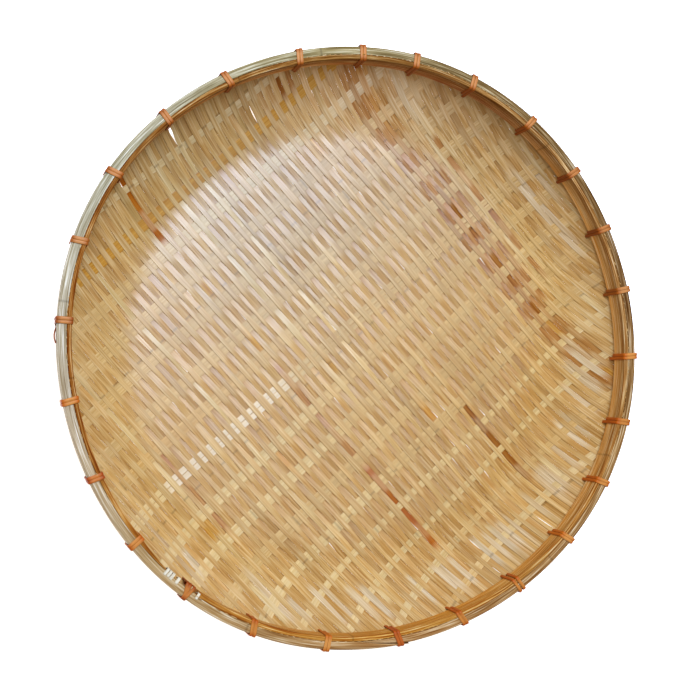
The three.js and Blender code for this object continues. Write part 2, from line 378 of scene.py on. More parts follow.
# %% Lay out the weave
ALONG_ANGLE = math.radians(-47.5)
ALONG = Vector((math.cos(ALONG_ANGLE), math.sin(ALONG_ANGLE)))
ACROSS = Vector((-ALONG.y, ALONG.x))
NARROW_THICK = 0.5 * MM
FLAT_THICK = 0.5 * MM
LEEWAY = 0.05 * MM  # some strips lie this much higher or lower than the rest
WEAVE_LIFT = (NARROW_THICK + FLAT_THICK) / 2  # of a narrow strip's middle, from a flat strip's middle
FLAT_RADIUS = 162 * MM  # the flat bottom, before the wall starts to rise
WALL_POWER = 2.1  # how late the wall turns upwards
mat_middle = WEAVE_LIFT + LEEWAY + NARROW_THICK / 2  # over the table, so that the lowest strips just touch it
wall_end = inner_outside  # where the mat turns upright, under the inner hoop
wall_run = wall_end - FLAT_RADIUS
UNDER_HOOP = 0.3 * MM  # between the mat and the inner hoop's foot
wall_rise = inner_foot - UNDER_HOOP - 1.8 * MM
edge_foot = mat_middle + wall_rise
edge_radius = (outer_inside + inner_outside) / 2
PRESSED_WALL = 0.65  # the share of its ups and downs that the weave keeps on the steep part of the wall
PRESSED = 0.5  # the share of its ups and downs that the weave keeps between the hoops
sheet_reach = wall_end + mat_top - edge_foot  # how far out the strips go, on the flat sheet
print("the sheet that we bend is", round(2 * sheet_reach / MM), "mm across")

# %% [markdown]
# We lay every strip on a flat sheet and bend the sheet's points into the tray: a flat bottom, a wall that
# curves up, and an upright edge between the hoops. On the wall and between the hoops the weave is pressed
# flatter.

# %% Bend the sheet into the tray


def smooth(share):
    """Goes from 0 to 1 with a slow start and a slow end."""
    share = min(1.0, max(0.0, share))
    return share * share * (3 - 2 * share)


def wall_slope(radius):
    """How steep the wall is. Past its end the mat stands upright and counts as flat."""
    if radius >= wall_end:
        return 0.0
    share = max(0.0, (radius - FLAT_RADIUS) / wall_run)
    return math.atan(WALL_POWER * wall_rise * share ** (WALL_POWER - 1) / wall_run)


def on_mat(x, y, height, lift):
    """A place on the flat sheet, as the tray bends it: height of the weave and lift square off its middle."""
    radius = max(math.hypot(x, y), 0.1 * MM)
    bent = smooth((radius - FLAT_RADIUS) / (40 * MM))
    clamped = smooth((radius - wall_end + 3 * MM) / (4 * MM))
    lift += height * (1 - (1 - PRESSED_WALL) * bent) * (1 - (1 - PRESSED) * clamped)
    if radius < wall_end:
        share = max(0.0, (radius - FLAT_RADIUS) / wall_run)
        slope = wall_slope(radius)
        ring = radius - lift * math.sin(slope)
        height = mat_middle + wall_rise * share**WALL_POWER + lift * math.cos(slope)
    else:
        climb = radius - wall_end
        ring = wall_end + (edge_radius - wall_end) * smooth(climb / (2 * MM)) - lift
        height = edge_foot + climb
    return bent_by_hand(Vector((x * ring / radius, y * ring / radius, height)))


# %% The flat strips and the canes
# One row for each flat strip, from the upper left to the lower right: its place along the narrow
# strips, its width, how far it is turned (in degrees) because the rows fan out, and its canes at its
# left and right.
FLAT_STRIPS = [
    (-198.5, 5.0, 2.0, "cream", "cream"),
    (-173.0, 8.6, 0.0, "amber", "amber"),
    (-146.0, 9.0, 0.5, "pale", "cream"),
    (-119.0, 9.2, 1.0, "pale", "pale"),
    (-91.0, 9.0, 1.5, "pale", "pale"),
    (-63.5, 9.2, 1.0, "pale", "pale"),
    (-38.0, 8.6, 1.2, "straw", "pale"),
    (-10.5, 9.6, 1.5, "cream", "pale"),
    (18.0, 8.6, 0.0, "cream", "pale"),
    (45.0, 9.0, 0.0, "cream", "pale"),
    (71.5, 9.0, -0.4, "pale", "pale"),
    (97.5, 8.8, -0.8, "cream", "pale"),
    (122.8, 5.6, -0.8, "cream", "cream"),
    (149.8, 5.4, -1.4, "cream", "cream"),
    (174.8, 5.2, -1.6, "cream", "pale"),
    (197.5, 5.0, -1.2, "straw", "cream"),
]
SPLIT_ROW = 7  # this flat strip is split lengthwise into two
CANES = {
    "chalk": "#d3bc98",
    "white": "#bea479",
    "cream": "#c5a66d",
    "pale": "#bb965a",
    "straw": "#b88f50",
    "tan": "#b08549",
    "honey": "#a87b3c",
    "olive": "#ad8749",
    "amber": "#b07b2b",
    "brown": "#a06c31",
    "rust": "#99510d",
    "dark": "#8a531b",
}
print(len(FLAT_STRIPS), "flat strips")

# %% [markdown]
# ### The narrow strips
#
# Neighbours share a wavy border line, so that hand-cut strips can swell and narrow without running into
# each other. The border lines are drawn with sines whose phases come from a seeded random generator, so
# the tray comes out the same each time. Strips of even width would be simpler and look machine-made.

# %% Draw the borders of the narrow strips
rng = random.Random(8)
NARROW_WIDE = 4.2 * MM


def draw_borders():
    """Border lines as (place across, waves). Seen from above, strips are narrower where the wall slopes."""
    borders = []
    place = -sheet_reach
    while place < sheet_reach:
        waves = [
            (rng.uniform(0.1, 0.3) * MM, rng.uniform(60, 220) * MM, rng.uniform(0, TURN))
            for _ in range(3)
        ]
        borders.append((place, waves))
        width = NARROW_WIDE * rng.triangular(0.7, 1.35, 0.95)
        place += width * math.cos(wall_slope(abs(place)))
    return borders


def border_at(border, along):
    """How far across the weave a border line lies at a place along it."""
    place, waves = border
    return place + sum(depth * math.sin(TURN * along / span + phase) for depth, span, phase in waves)


borders = draw_borders()
print(len(borders) - 1, "narrow strips")

# %% [markdown]
# A strip's height follows from the flat strips that it crosses. It lies flat over the width of each, and
# swings down to pass under the next, steepest half way. So we give the strip a height at both edges of
# each flat strip, and a smooth curve through them does the rest.


# %% The rise and fall of a narrow strip
def bends_of(number, across):
    """Strip number's (place, height) at both edges of each flat strip that it crosses."""
    level = WEAVE_LIFT if number % 2 == 1 else -WEAVE_LIFT
    bends = []
    for place, wide, turned, *_ in FLAT_STRIPS:
        height = level * rng.uniform(0.93, 1.05)
        middle = place * MM + across * math.tan(math.radians(turned))
        bends += [(middle - wide * MM / 2, height), (middle + wide * MM / 2, height)]
        level = -level
    return bends


def height_on(bends, along):
    """The height of a strip's middle over the middle of the weave."""
    if along <= bends[0][0] or along >= bends[-1][0]:
        return bends[0][1] if along <= bends[0][0] else bends[-1][1]
    for (start, low), (end, high) in zip(bends, bends[1:]):
        if along <= end:
            return low + (high - low) * smooth((along - start) / (end - start))


# %% A strip's section, and where it gets its rows
def section_of(shaved):
    """The corners of a section, as shares of its width and thickness: its upper face, then its lower one.

    shaved says how much of the width the knife took off each edge."""
    inner = 0.5 - shaved
    upper = [(-0.5, 0.3), (-inner, 0.5), (inner, 0.5), (0.5, 0.3)]
    return upper + [(across, -up) for across, up in reversed(upper)]


LONGEST_STEP = 7 * MM
SHORTEST_STEP = 0.5 * MM
SWING_ROWS = (0.1, 0.3, 0.5, 0.7, 0.9)  # the rows of points between two flat strips
END_RAGGED = 0.3 * MM


def rows_along(start, end, off_centre, bends):
    """Where a strip gets its rows: where it bends, where the mat turns upright, and evenly between."""
    wanted = {place for place, _ in bends}
    for (left, _), (entering, _) in zip(bends[1::2], bends[2::2]):
        wanted |= {left + (entering - left) * share for share in SWING_ROWS}
    for ring in (wall_end - 1 * MM, wall_end + 1 * MM, wall_end + 2.5 * MM):
        if ring > off_centre:
            wanted |= {math.sqrt(ring**2 - off_centre**2), -math.sqrt(ring**2 - off_centre**2)}
    rows = [start]
    for place in sorted(place for place in wanted if place < end - SHORTEST_STEP) + [end]:
        if place - rows[-1] < SHORTEST_STEP:
            continue
        steps = math.ceil((place - rows[-1]) / LONGEST_STEP)
        rows += [rows[-1] + (place - rows[-1]) * step / steps for step in range(1, steps + 1)]
    return rows


# %% Lay one strip
def lay_strip(mesh, centre, heading, bends, edges_at, roll_at, section, thick, shade_at, shift):
    """One strip across the whole sheet: centre and heading give its line in the plane of the weave."""
    side_way = Vector((-heading.y, heading.x))
    ends = [
        math.sqrt((sheet_reach - rng.uniform(0, END_RAGGED)) ** 2 - centre.length_squared)
        for _ in range(2)
    ]
    rows = rows_along(-ends[0], ends[1], centre.length, bends)
    heights = [height_on(bends, along) if bends else 0.0 for along in rows]

    def place(row, side):
        share_across, share_up = section[side]
        along, height = rows[row], heights[row]
        left_edge, right_edge = edges_at(along, height)
        across = share_across * (right_edge - left_edge)
        spot = centre + side_way * ((left_edge + right_edge) / 2 + across) + heading * along
        return on_mat(spot.x, spot.y, height, share_up * thick + roll_at(along) * across)

    def colour(row, side):
        share_across, _ = section[side]
        # The alpha marks the cut edges, which the material darkens as painted shade.
        return (*shade_at(rows[row], heights[row]), 1.0 if abs(share_across) == 0.5 else 0.0)

    wide = edges_at(0, 0)[1] - edges_at(0, 0)[0]
    around = distances([(wide * across, thick * up) for across, up in section], closed=True)
    wrap(mesh, rows, around, place, colour, shift)


# %% [markdown]
# ### The colours of the strips
#
# Each narrow strip gets one cane, and drifts a little from one tone to another along its length. Strips
# that were split from one stem lie side by side, so some tones come in groups. Some patches are tinted
# darker, and the mat's upper edge is painted paler as painted light. Single strips are stained or smoked
# brown, and pale stretches on the lower wall are painted highlights. A strip is painted paler where it
# stands up over a flat strip, as painted light. One random colour for each strip would be simpler, but
# would miss these larger changes.


# %% Blend canes
def blend(first, second, share):
    """A colour between two linear ones."""
    return [a + (b - a) * share for a, b in zip(first, second)]


def mixed(first, second, share):
    """A colour between two canes, by their names."""
    return blend(linear(CANES[first]), linear(CANES[second]), share)


# %% Where the canes are tinted by place, partly as painted light
# A middle and a width in mm, and how much of its red, green and blue a cane has there: four patches
# are darker, and the last, at the mat's upper edge, is painted light that brightens the shaded upper wall.
PATCHES = [
    ((-80, 108), 110, (0.72, 0.75, 0.8)),
    ((120, -45), 95, (0.9, 0.86, 0.76)),
    ((-10, 150), 75, (0.83, 0.83, 0.84)),
    ((95, 150), 80, (0.85, 0.86, 0.92)),
    # Painted light: this patch brightens the upper wall, which lies in shade.
    ((0, 225), 85, (1.3, 1.35, 1.75)),
]


def tint_and_painted_light_at(spot):
    """How much of its red, green and blue a cane has at a place, painted light included. The wall is paler
    than the bottom.
    """
    paler = smooth((math.hypot(*spot) - 180 * MM) / (25 * MM))
    kept = [1 + gain * paler for gain in (0.05, 0.08, 0.22)]
    for middle, wide, factors in PATCHES:
        share = math.exp(-((math.dist(spot, [side * MM for side in middle]) / (wide * MM)) ** 2))
        kept = [part * (1 + (factor - 1) * share) for part, factor in zip(kept, factors)]
    return kept


# %% Strips that stand out
# Place across the weave, from and to along it, and the cane they turn to. The white and cream stretches, all
# on the wall, are painted highlights; the others are stains.
STAINS_AND_PAINTED_SHEEN = [
    (-51, -215, -150, "rust"),
    (-51, -118, -96, "amber"),
    (-51, -70, -34, "amber"),
    (-51, -32, 75, "brown"),
    (-51, 78, 172, "rust"),
    (90, -205, -172, "dark"),
    (98, -200, -172, "brown"),
    (89, -152, -120, "amber"),
    (-172, 15, 42, "amber"),
    (-161, -45, 45, "brown"),
    (-95, 18, 45, "amber"),
    (-17, -10, 15, "amber"),
    (84, -45, 45, "amber"),
    (16, 70, 97, "amber"),
    (45, 95, 185, "dark"),
    (133, -50, 96, "brown"),
    (137, -42, 92, "brown"),
    (141.5, -60, 125, "brown"),
    (146, -48, 98, "dark"),
    (150, -42, 120, "brown"),
    (154.5, -70, 88, "brown"),
    (170, -80, 75, "brown"),
    # Painted highlights on the wall, not stains.
    (-27, 180, 212, "white"),
    (-10, 180, 212, "cream"),
    (60, 172, 200, "cream"),
    (142, 128, 162, "white"),
    (175, 88, 125, "cream"),
    (-199, 20, 52, "white"),
    (-180, 75, 118, "cream"),
    (-165, 103, 132, "white"),
    (-112, 152, 172, "cream"),
]
STAIN_AND_SHEEN_FADES = 8 * MM


def with_stains_and_sheen(own, middle, along):
    """A strip's own colour, or near a stain or painted highlight of its own a blend into its cane."""
    for across, start, end, cane in STAINS_AND_PAINTED_SHEEN:
        if abs(middle - across * MM) < NARROW_WIDE / 2:
            share = smooth((along - start * MM) / STAIN_AND_SHEEN_FADES) * smooth((end * MM - along) / STAIN_AND_SHEEN_FADES)
            own = blend(own, linear(CANES[cane]), share)
    return own


PAINTED_CREST_LIGHT = 0.32  # painted light: how far a strip is painted paler where it stands up over a flat strip
PAINTED_SHEEN_CHANCE = 0.3  # for a strip, that it is painted pale as a highlight on the lower part of the wall


def painted_sheen_at(spot, along):
    """How far a strip is painted pale as a highlight at a place: on the wall, and on the tray's lower side.
    """
    radius = math.hypot(*spot)
    on_wall = smooth((radius - 184 * MM) / (7 * MM)) * smooth((213 * MM - radius) / (6 * MM))
    return on_wall * smooth((along + 30 * MM) / (40 * MM))


def narrow_cane_at(place):
    """The two canes between which a strip drifts, by its place across the weave."""
    across = place / MM
    if 131 < across < 156:
        return rng.choice([("brown", "amber"), ("honey", "brown"), ("brown", "tan"), ("brown", "brown")])
    pairs = [("straw", "tan"), ("tan", "straw"), ("tan", "tan"), ("straw", "straw"), ("straw", "honey")]
    rare = [("cream", "straw"), ("honey", "tan"), ("olive", "tan"), ("tan", "honey")]
    return rng.choice(rare) if rng.random() < 0.2 else rng.choice(pairs)


# %% [markdown]
# Neighbours nearly touch where they pass each other, and lap a little where one is up and the other is
# down, so that hardly any light comes through. Here and there one has pulled away, or an awl has opened a
# slit. The strips go into the mesh one by one, and a few of them make a piece.

# %% Gaps and slits
GAP = 0.05 * MM
LAP = 0.3 * MM  # how far neighbours reach over each other where one is up and the other is down
CLEAR = NARROW_THICK / 2 / WEAVE_LIFT  # the share of the lift at which neighbours pass clear of each other
# Open slits between two strips, mostly where an awl went through for a lashing: the place across and
# along, the width, and half the length.
SLITS = [
    (0, -212, 2.6, 9),
    (-54, -204, 1.6, 6),
    (62, -184, 1.0, 10),
    (108, -172, 0.9, 9),
    (37, -33, 0.7, 15),
    (20, 18, 0.6, 8),
    (-30, 186, 0.9, 7),
    (-31, 208, 1.2, 7),
    (25, 208, 1.3, 9),
]
SLIT_CHANCE = 0.06  # for each edge of a flat strip, that the narrow strip has pulled away from its neighbour
SLIT_LONG = 5 * MM
STRIPS_TO_A_PIECE = 9
NARROW_SHAVED = 0.05  # of the width, at each edge
OWN_FIBRES = 7.3  # metres along the noise, from one strip to the next
slits_of = [[] for _ in borders]
for across, *slit in SLITS:
    nearest = min(range(len(borders)), key=lambda number: abs(borders[number][0] - across * MM))
    slits_of[nearest].append(slit)


def drawn_back(number, along):
    """How far the strips on both sides of a border have drawn back from it."""
    return sum(
        wide * MM / 2 * max(0.0, 1 - abs(along - at * MM) / (long * MM))
        for at, wide, long in slits_of[number]
    )


print(sum(map(len, slits_of)), "slits")

# %% Weave the narrow strips
woven = []
mesh = new_long_mesh()
for number, (left_border, right_border) in enumerate(zip(borders, borders[1:])):
    middle = (left_border[0] + right_border[0]) / 2
    if abs(middle) > sheet_reach - END_RAGGED - NARROW_WIDE:
        continue
    first, second = narrow_cane_at(middle)
    light = rng.uniform(0.93, 1.07)
    # Painted highlight: some strips are painted pale on the lower wall, where its slope would mirror light.
    painted_sheen = rng.uniform(0.5, 1.0) if rng.random() < PAINTED_SHEEN_CHANCE else 0.0
    roll = [(rng.uniform(0, 0.02), rng.uniform(30, 90) * MM, rng.uniform(0, TURN)) for _ in range(2)]
    bends = bends_of(number, middle)
    slits = [
        (place, rng.uniform(0.3, 0.7) * MM)
        for place, _ in bends
        if rng.random() < SLIT_CHANCE and math.hypot(place, middle) < FLAT_RADIUS
    ]

    def edges_at(along, height):
        lap = LAP * max(0.0, abs(height) / WEAVE_LIFT - CLEAR) / (1 - CLEAR)
        slit = sum(width * math.exp(-(((along - place) / SLIT_LONG) ** 2)) for place, width in slits)
        low = border_at(left_border, along) - middle + (GAP - lap) / 2 + slit + drawn_back(number, along)
        high = border_at(right_border, along) - middle - (GAP - lap) / 2 - drawn_back(number + 1, along)
        return low, high

    def roll_at(along):
        return sum(depth * math.sin(TURN * along / span + phase) for depth, span, phase in roll)

    def shade_at(along, height):
        spot = ACROSS * middle + ALONG * along
        own = with_stains_and_sheen(mixed(first, second, (along / sheet_reach + 1) / 2), middle, along)
        # Painted light: a strip's crest over a flat strip is painted paler, as if more light fell on it.
        own = blend(own, linear(CANES["cream"]), PAINTED_CREST_LIGHT * smooth((height / WEAVE_LIFT - 0.5) / 0.4))
        # Painted highlight on the lower wall.
        own = blend(own, linear(CANES["white"]), painted_sheen * painted_sheen_at(spot, along))
        return [light * kept * part for kept, part in zip(tint_and_painted_light_at(spot), own)]

    lay_strip(
        mesh,
        ACROSS * middle,
        ALONG,
        bends,
        edges_at,
        roll_at,
        section_of(NARROW_SHAVED),
        NARROW_THICK,
        shade_at,
        OWN_FIBRES * number,
    )
    if number % STRIPS_TO_A_PIECE == STRIPS_TO_A_PIECE - 1:
        woven.append(add_piece(f"narrow_strips_{len(woven) + 1:02d}", mesh, narrow_cane))
        mesh = new_long_mesh()
woven.append(add_piece(f"narrow_strips_{len(woven) + 1:02d}", mesh, narrow_cane))
print(len(woven), "pieces of narrow strips")

# %% [markdown]
# ### The flat strips
#
# The flat strips are as thick as the narrow ones, but twice as wide, so they stay straight. They keep to
# the middle of the mat's thickness, and only their squares show, between the narrow strips that go over
# them. Loose squares would look the same from above, but whole strips also show in the gaps and below.

# %% Lay the flat strips
FLAT_TO_A_PIECE = 6
FLAT_SHAVED = 0.02  # of the width, at each edge
OWN_FLAT_FIBRES = 5.1  # metres along the noise, from one strip to the next
SPLIT_GAP = 0.5 * MM
CHALKY_FROM = -183 * MM  # the stretch of the split strip that has bleached
CHALKY_TO = -38 * MM
mesh = new_long_mesh()
flat_pieces = []
for number, (place_mm, wide, turned_by, left_cane, right_cane) in enumerate(FLAT_STRIPS):
    heading = (ACROSS + ALONG * math.tan(math.radians(turned_by))).normalized()
    start = ALONG * place_mm * MM
    centre = start - heading * start.dot(heading)
    light = rng.uniform(0.97, 1.03)
    half = wide * MM / 2

    def shade_at(along, _):
        own = mixed(left_cane, right_cane, smooth(along / (80 * MM) + 1.1))
        if number == SPLIT_ROW:
            share = smooth((along - CHALKY_FROM) / (15 * MM)) * smooth((CHALKY_TO - along) / (30 * MM))
            own = blend(own, linear(CANES["chalk"]), share)
        return [light * kept * part for kept, part in zip(tint_and_painted_light_at(centre + heading * along), own)]

    parts = [(-half, -SPLIT_GAP / 2), (SPLIT_GAP / 2, half)] if number == SPLIT_ROW else [(-half, half)]
    for edges in parts:
        lay_strip(
            mesh,
            centre,
            heading,
            [],
            lambda *_: edges,
            lambda along: 0.0,
            section_of(FLAT_SHAVED),
            FLAT_THICK,
            shade_at,
            OWN_FLAT_FIBRES * number,
        )
    if number % FLAT_TO_A_PIECE == FLAT_TO_A_PIECE - 1 or number == len(FLAT_STRIPS) - 1:
        flat_pieces.append(add_piece(f"flat_strips_{len(flat_pieces) + 1}", mesh, flat_cane))
        mesh = new_long_mesh()
mesh.free()
print(len(flat_pieces), "pieces of flat strips")

# %% [markdown]
# ## The hoops
#
# Each hoop is a split of a bamboo stem, bent round with its skin outwards. Its section is a tall oblong
# with rounded corners. We go round the section once, corner by corner, and then round the rim. Spinning
# the section would be quicker, but the ends of the outer hoop are pared thin and lie on each other, and
# the inner hoop's ends stay apart. The skin is pale and waxy, the cut faces are browner and show fibres,
# and the tone changes slowly along the stem; the colours set round the rim for the outer skin and the
# inner face also hold painted light and shade. The top edges lean over the mat's cut edge and hide it.

# %% Hoop sections and colours
CORNER_STEPS = 4
SEAT_GAP = 0.3 * MM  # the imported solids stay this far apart, and here the hoops close up on the mat


def rounded_oblong(inside, outside, foot, top, inner_corner, outer_corner, bulge, lips):
    """The section's points as (radius, height, face, share), anticlockwise from its inner face's foot.

    lips says how far each corner leans out, so that the top edges close over the mat."""
    corners = [
        (inside + inner_corner, foot + inner_corner, inner_corner, 0.5),
        (outside - outer_corner, foot + outer_corner, outer_corner, 0.75),
        (outside - outer_corner, top - outer_corner, outer_corner, 0.0),
        (inside + inner_corner, top - inner_corner, inner_corner, 0.25),
    ]
    outline = []
    for number, (radius, height, corner, start) in enumerate(corners):
        for step in range(CORNER_STEPS + 1):
            angle = TURN * (start + 0.25 * step / CORNER_STEPS)
            x = radius + corner * math.cos(angle) + lips[number]
            z = height + corner * math.sin(angle)
            outline.append((x, z, number, step / CORNER_STEPS))
        if number == 1:
            outline.append((outside + bulge, (foot + top) / 2, 1, 1.0))
    return outline


def by_angle(angle, stops):
    """A colour that goes smoothly round the rim through given (degrees, colour) stops."""
    degrees = math.degrees(angle) % 360
    stops = stops + [(stops[0][0] + 360, stops[0][1])]
    if degrees < stops[0][0]:
        degrees += 360
    for (start, first), (end, second) in zip(stops, stops[1:]):
        if start <= degrees <= end:
            share = (degrees - start) / (end - start)
            return [a + (b - a) * share for a, b in zip(linear(first), linear(second))]
    return linear(stops[0][1])


# %% The tones of the hoops round the rim, with painted light and shade
# Partly painted light: the outer skin is painted paler on the tray's left, where light falls on it, and
# darker on its right.
OUTER_SKIN_LIT_AND_SHADED = [
    (10, "#6d4b27"),
    (65, "#725a35"),
    (100, "#8a7a50"),
    (150, "#988f74"),
    (190, "#a9977b"),
    (225, "#a68759"),
    (275, "#9a6f3f"),
    (340, "#8f6a3c"),
]
OUTER_HEART = "#7a5228"
INNER_TOP = [(10, "#8f6433"), (95, "#795122"), (185, "#844d19"), (275, "#aa6e23")]
# Partly painted light: the inner face is painted brighter from about 20 to 45 degrees, where it lies in
# shade.
INNER_FACE_LIT_AND_SHADED = [
    (20, "#eebb70"),
    (35, "#ecb76b"),
    (58, "#a87040"),
    (73, "#a36231"),
    (97, "#c4803e"),
    (130, "#cf8b43"),
    (155, "#a66934"),
    (185, "#aa6d34"),
    (290, "#c9872c"),
]


# %% Bend the outer hoop
HOOP_ROWS = 288
SCARF_LENGTH = 42 * MM
SCARF_START = 0.744 * TURN
scarf_span = SCARF_LENGTH / TRAY_RADIUS
bulge = 0.4 * MM
outer_face = outer_inside - SEAT_GAP
outer_wide = outer_outside - outer_face
LIP = 0.35 * MM
lips = (0, 0, 0, -LIP)
SEAM_CORNER = 0.25 * MM  # where a hoop meets the mat
SKIN_CORNER = 2 * MM
SCARF_GAP = 0.03 * MM
skin = outer_outside - bulge
outline = rounded_oblong(outer_face, skin, outer_foot, rim_top, SEAM_CORNER, SKIN_CORNER, bulge, lips)


def outer_place(row, side):
    """Its two pared ends lie on each other: one grows out of the inner face, one thins into the skin."""
    radius, height, _, _ = outline[side]
    turned_by = (TURN + scarf_span) * row / HOOP_ROWS
    angle = SCARF_START + turned_by
    grown = min(1.0, turned_by / scarf_span)
    pared = min(1.0, max(0.0, (turned_by - TURN) / scarf_span))
    share = (radius - outer_face) / outer_wide
    radius = outer_face + outer_wide * (pared + (grown - pared) * share)
    radius += SCARF_GAP if turned_by > TURN else 0
    return bent_by_hand(Vector((radius * math.cos(angle), radius * math.sin(angle), height)))


def outer_colour(row, side):
    angle = SCARF_START + (TURN + scarf_span) * row / HOOP_ROWS
    _, _, face, share = outline[side]
    on_heart = face == 0 or face == 3 and share > 0.5
    return (*(linear(OUTER_HEART) if on_heart else by_angle(angle, OUTER_SKIN_LIT_AND_SHADED)), 0.0)


mesh = new_long_mesh()
reach = [TURN * TRAY_RADIUS * row / HOOP_ROWS for row in range(HOOP_ROWS + 1)]
around = distances([point[:2] for point in outline], closed=True)
wrap(mesh, reach, around, outer_place, outer_colour, 0.11)
outer_hoop = add_piece("outer_hoop_bamboo", mesh, hoop_cane)
print("outer hoop:", len(outer_hoop.data.polygons), "faces")

# %% Bend the inner hoop
TAPER_START = 0.61 * TURN
TAPER_END = 0.632 * TURN
SQUARE_END = 0.652 * TURN
TAPER_TIP = 0.7 * MM
inner_face = inner_outside + SEAT_GAP
inner_wide = inner_face - inner_inside
lips = (0, 0, LIP, 0)
HEART_CORNER = 0.7 * MM
heights = (inner_foot, rim_top)
inner_outline = rounded_oblong(inner_inside, inner_face, *heights, HEART_CORNER, SEAM_CORNER, 0.0, lips)
inner_span = TAPER_END + TURN - SQUARE_END


def inner_place(row, side):
    radius, height, _, _ = inner_outline[side]
    angle = SQUARE_END + inner_span * row / HOOP_ROWS
    pared = max(0.0, (angle - TURN - TAPER_START) / (TAPER_END - TAPER_START))
    keep = 1 + (TAPER_TIP / inner_wide - 1) * pared
    radius = inner_face - (inner_face - radius) * keep
    return bent_by_hand(Vector((radius * math.cos(angle), radius * math.sin(angle), height)))


def inner_colour(row, side):
    angle = SQUARE_END + inner_span * row / HOOP_ROWS
    _, _, face, _ = inner_outline[side]
    return (*by_angle(angle, INNER_TOP if face in (2, 3) else INNER_FACE_LIT_AND_SHADED), 0.0)


mesh = new_long_mesh()
around = distances([point[:2] for point in inner_outline], closed=True)
wrap(mesh, reach, around, inner_place, inner_colour, 0.43)
inner_hoop = add_piece("inner_hoop_bamboo", mesh, hoop_cane)
print("inner hoop:", len(inner_hoop.data.polygons), "faces")

# %% [markdown]
# ### Folded strip ends
#
# Where the inner hoop's two ends leave a gap, a few ends of strips come up between the hoops and are
# folded out over the rim. They could be left out as too small, but they are the palest thing on the rim.
# Each is a short flat piece along one path in a plane through the tray's axis.

# %% Fold the strip ends by the knot
# The path as radius and height over the rim's top, in mm.
FOLD_PATH = [
    (216.8, -7.0),
    (215.8, -3.0),
    (215.3, -0.8),
    (215.9, 0.3),
    (217.4, 0.6),
    (219.2, 0.55),
    (221.2, 0.5),
]
# Each folded end: its place in degrees, its width in mm, and how much further out than the path it goes.
FOLD_ENDS = [
    (227.4, 2.2, -0.6),
    (228.1, 2.0, -1.2),
    (228.8, 2.0, -0.9),
    (230.1, 2.2, -1.4),
    (234.9, 2.0, -1.0),
]
FOLD_COLOUR = "#cfc3a8"
FOLD_THICK = 0.4 * MM
FOLD_SECTION = [(-0.5, 0.5), (0.5, 0.5), (0.5, -0.5), (-0.5, -0.5)]
mesh = new_long_mesh()
for degrees, wide, further in FOLD_ENDS:
    angle = math.radians(degrees)
    path = [Vector((radius * MM, 0, rim_top + up * MM)) for radius, up in FOLD_PATH[:-1]]
    path.append(Vector(((FOLD_PATH[-1][0] + further) * MM, 0, rim_top + FOLD_PATH[-1][1] * MM)))

    def place(row, side):
        way = (path[min(row + 1, len(path) - 1)] - path[max(row - 1, 0)]).normalized()
        across, up = FOLD_SECTION[side]
        off = Vector((-way.z, 0, way.x)) * up * FOLD_THICK + Vector((0, across * wide * MM, 0))
        return bent_by_hand(Matrix.Rotation(angle, 3, "Z") @ (path[row] + off))

    def fold_colour(row, side):
        return (*linear(FOLD_COLOUR), 0.0)

    corners = [(across * wide * MM, up * FOLD_THICK) for across, up in FOLD_SECTION]
    wrap(mesh, distances(path), distances(corners, closed=True), place, fold_colour, degrees)
folded_ends = add_piece("folded_strip_ends", mesh, narrow_cane)
print("folded ends:", len(FOLD_ENDS))

# %% [markdown]
# ## The lashings
#
# The cord is split cane, dyed orange and wound on damp, so that it dries tight. The dye sits in the
# grooves between the fibres, and the crests are rubbed paler. Plain orange plastic would be simpler, but
# it wouldn't show the fibres. They are drawn half a millimetre wide, a little coarser than they are, and
# streaks of tone with a fine bump carry them.

# %% Dyed cane
dyed_cane = bpy.data.materials.new("dyed split cane cord")
dyed_cane.use_nodes = True
tree = dyed_cane.node_tree
tree.nodes.clear()
own = add_node(tree, "Attribute", attribute_name="cane")
along = add_node(tree, "UVMap", uv_map="UVMap").outputs["UV"]
fine = add_node(tree, "Mapping", {"Vector": along, "Scale": (1 / (12 * MM), 1 / (0.5 * MM), 1)})
fibres = add_node(tree, "TexNoise", {"Vector": fine.outputs[0], "Scale": 1, "Detail": 2})
fibre_light = add_node(
    tree,
    "MapRange",
    {**MOST_NOISE, "Value": fibres.outputs["Fac"], "To Min": 0.8, "To Max": 1.2},
)
shaded = {0: own.outputs["Color"], "Scale": fibre_light.outputs[0]}
colour = add_node(tree, "VectorMath", shaded, operation="SCALE")
bump = add_node(tree, "Bump", {"Height": fibres.outputs["Fac"], "Strength": 0.3, "Distance": 0.1 * MM})
shader = add_node(
    tree,
    "BsdfPrincipled",
    {
        "Base Color": colour.outputs[0],
        "Roughness": 0.45,
        "Specular IOR Level": 0.15,
        "Normal": bump.outputs[0],
    },
)
output = add_node(tree, "OutputMaterial")
tree.links.new(shader.outputs[0], output.inputs["Surface"])
print(dyed_cane.name, "has", len(tree.nodes), "nodes")

# %% [markdown]
# A lashing comes up inside the rim, goes over it and down outside, and back underneath to the next turn.
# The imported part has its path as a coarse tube. A curve with a bevel could follow it, but would twist at
# the corners. We lay the same path with finer bends, in line with +X, with the way out of the rim at each
# station to keep the cord flat on it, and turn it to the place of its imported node.

# %% The path of a lashing
CORD_WIDE = 2.5 * MM
CORD_THICK = 1.1 * MM
CORD_PITCH = 2.5 * MM
CORD_CORNER = 1.6 * MM
CORD_START = 4 * MM
CORD_SEAT = CORD_THICK / 2
BEND_STEPS = 6
cord_inside = inner_inside - CORD_SEAT
cord_outside = outer_outside + CORD_SEAT
cord_top = rim_top + CORD_SEAT
cord_foot = min(outer_foot, inner_foot) - CORD_SEAT


def station(radius, along_rim, height, quarters):
    """A place on a cord's path, and the way out of the rim there, as quarter turns from +X."""
    angle = quarters * TURN / 4
    return Vector((radius, along_rim, height)), Vector((math.cos(angle), 0, math.sin(angle)))


